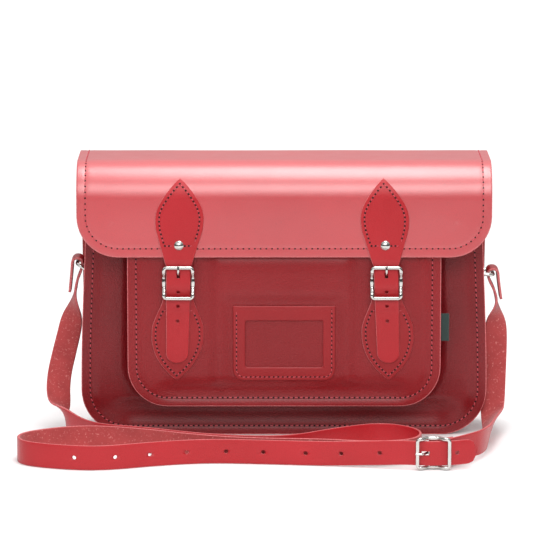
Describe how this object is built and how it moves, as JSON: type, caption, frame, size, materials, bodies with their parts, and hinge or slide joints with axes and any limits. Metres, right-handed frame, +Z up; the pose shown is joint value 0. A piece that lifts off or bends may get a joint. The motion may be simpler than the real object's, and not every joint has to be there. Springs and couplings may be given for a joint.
{
  "type": "satchel bag",
  "caption": "School satchel of stiff leather with a wide flap closed by two buckled straps, a front pocket with a card window, and a long shoulder strap on side rings.",
  "frame": {"origin": "on the surface that the bag stands on, under the middle of the bag itself without its shoulder strap", "axes": "+X to the right as seen from the front, +Y towards the back panel, +Z up"},
  "size_m": [0.4034, 0.1964, 0.232],
  "materials": {
    "body_leather": "pebbled, satin",
    "flap_leather": "smooth, semi-gloss",
    "strap_leather": "smooth, satin",
    "nickel": "polished nickel",
    "thread": "waxed thread",
    "label_tape": "woven tape, blank"
  },
  "bodies": {
    "bag": {"back_panel": "body_leather", "main_front_panel": "body_leather", "main_panel_thread": "thread", "main_gusset": "body_leather", "pocket_front_panel": "body_leather", "pocket_thread": "thread", "pocket_gusset": "body_leather", "name_card_holder": "body_leather", "card_holder_thread": "thread", "blank_side_label": "label_tape", "left_buckle_chape": "strap_leather", "right_buckle_chape": "strap_leather", "left_ring_chape": "strap_leather", "right_ring_chape": "strap_leather", "left_ring_rivet_lower": "nickel", "left_ring_rivet_upper": "nickel", "right_ring_rivet_lower": "nickel", "right_ring_rivet_upper": "nickel", "shoulder_strap_long": "strap_leather", "shoulder_strap_short": "strap_leather", "shoulder_buckle_frame": "nickel"},
    "flap_top": {"flap_top": "flap_leather"},
    "flap_front": {"flap_front": "flap_leather", "flap_thread": "thread", "left_closure_strap": "strap_leather", "right_closure_strap": "strap_leather", "left_strap_rivet": "nickel", "right_strap_rivet": "nickel"},
    "left_buckle": {"left_buckle_frame": "nickel"},
    "left_tongue": {"left_buckle_tongue": "nickel"},
    "right_buckle": {"right_buckle_frame": "nickel"},
    "right_tongue": {"right_buckle_tongue": "nickel"},
    "left_ring": {"left_d_ring": "nickel"},
    "right_ring": {"right_d_ring": "nickel"},
    "shoulder_tongue": {"shoulder_buckle_tongue": "nickel"}
  },
  "joints": [
    {"name": "flap_lift", "type": "hinge", "parent": "bag", "child": "flap_top", "pos_m": [0, 0.04575, 0.22875], "axis": [-1, 0, 0], "range_deg": [0, 180], "deforming": ["left_closure_strap", "right_closure_strap"]},
    {"name": "flap_fold", "type": "hinge", "parent": "flap_top", "child": "flap_front", "pos_m": [0, -0.03609, 0.22489], "axis": [-1, 0, 0], "range_deg": [0, 90], "deforming": ["left_closure_strap", "right_closure_strap"]},
    {"name": "left_buckle_tilt", "type": "hinge", "parent": "bag", "child": "left_buckle", "pos_m": [-0.0868, -0.0403, 0.1342], "axis": [1, 0, 0], "range_deg": [-6, 10]},
    {"name": "left_tongue_swing", "type": "hinge", "parent": "left_buckle", "child": "left_tongue", "pos_m": [-0.0868, -0.0403, 0.1342], "axis": [1, 0, 0], "range_deg": [0, 100]},
    {"name": "right_buckle_tilt", "type": "hinge", "parent": "bag", "child": "right_buckle", "pos_m": [0.0838, -0.0403, 0.1342], "axis": [1, 0, 0], "range_deg": [-6, 10]},
    {"name": "right_tongue_swing", "type": "hinge", "parent": "right_buckle", "child": "right_tongue", "pos_m": [0.0838, -0.0403, 0.1342], "axis": [1, 0, 0], "range_deg": [0, 100]},
    {"name": "left_ring_swing", "type": "hinge", "parent": "bag", "child": "left_ring", "pos_m": [-0.15938, 0.0188, 0.133], "axis": [0, -1, 0], "range_deg": [-28, 112], "deforming": ["shoulder_strap_long"]},
    {"name": "right_ring_swing", "type": "hinge", "parent": "bag", "child": "right_ring", "pos_m": [0.15938, 0.0188, 0.133], "axis": [0, 1, 0], "range_deg": [-65, 75], "deforming": ["shoulder_strap_short"]},
    {"name": "shoulder_tongue_swing", "type": "hinge", "parent": "bag", "child": "shoulder_tongue", "pos_m": [0.119, -0.138, 0.0134], "axis": [0, 0, 1], "range_deg": [0, 95], "deforming": ["shoulder_strap_long"]}
  ]
}
